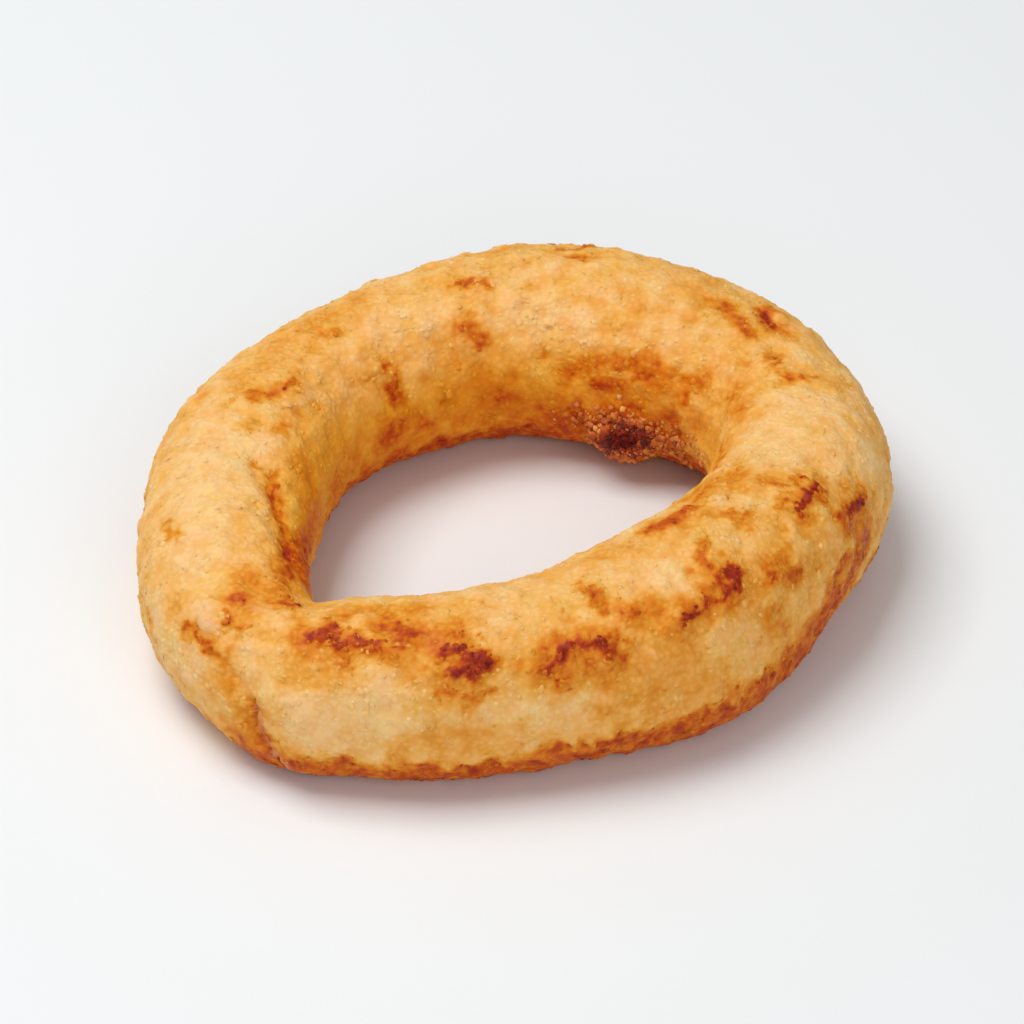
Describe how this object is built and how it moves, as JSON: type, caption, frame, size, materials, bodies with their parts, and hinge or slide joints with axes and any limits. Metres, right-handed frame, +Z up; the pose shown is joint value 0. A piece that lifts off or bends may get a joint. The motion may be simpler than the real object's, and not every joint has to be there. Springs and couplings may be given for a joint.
{
  "type": "onion ring",
  "caption": "Battered, fried onion ring lying flat: an uneven oval loop of golden crust round an open hole, with folds, blisters, browned crags and burnt crumbs.",
  "frame": {"origin": "middle of the ring's box in plan, on the surface that the ring lies on", "axes": "+Z up out of the ring's plane; -Y towards the side that faces the viewer in the picture, +X to the viewer's right"},
  "size_m": [0.0832, 0.0814, 0.0205],
  "materials": {
    "fried_crust": "golden fried batter, finely crumbed and slightly oily, browned on its crags"
  },
  "bodies": {
    "root": {"onion_ring": "fried_crust"}
  },
  "joints": []
}
